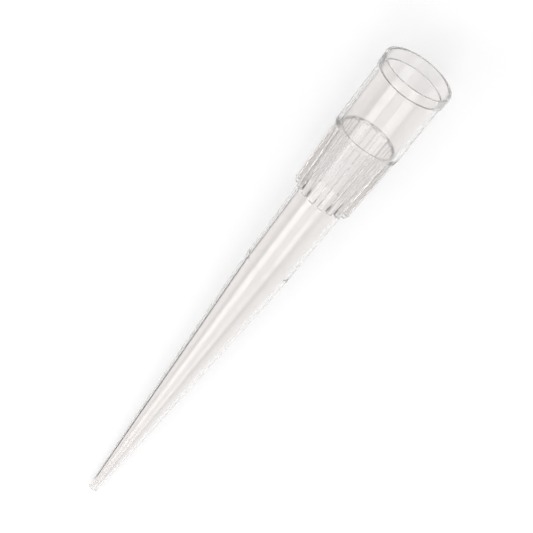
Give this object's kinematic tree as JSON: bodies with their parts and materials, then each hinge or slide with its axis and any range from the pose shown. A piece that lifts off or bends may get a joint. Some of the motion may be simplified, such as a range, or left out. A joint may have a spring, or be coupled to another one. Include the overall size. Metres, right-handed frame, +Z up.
{
  "type": "pipette tip",
  "caption": "Clear single-use pipette tip: a hollow tapered tube with a ribbed collar and a wide, lipped mouth that fits on the end of a pipette.",
  "frame": {"origin": "middle of the bounding box's bottom face, on the surface that the tip lies on", "axes": "+X along the tip towards its mouth, +Z up; the tip's own axis rises 3.88 degrees from +X, as it lies on its point and its collar"},
  "size_m": [0.0534, 0.0072, 0.0076],
  "materials": {
    "clear_plastic": "clear, smooth natural polypropylene with a faint haze"
  },
  "bodies": {
    "root": {"pipette_tip": "clear_plastic"}
  },
  "joints": []
}
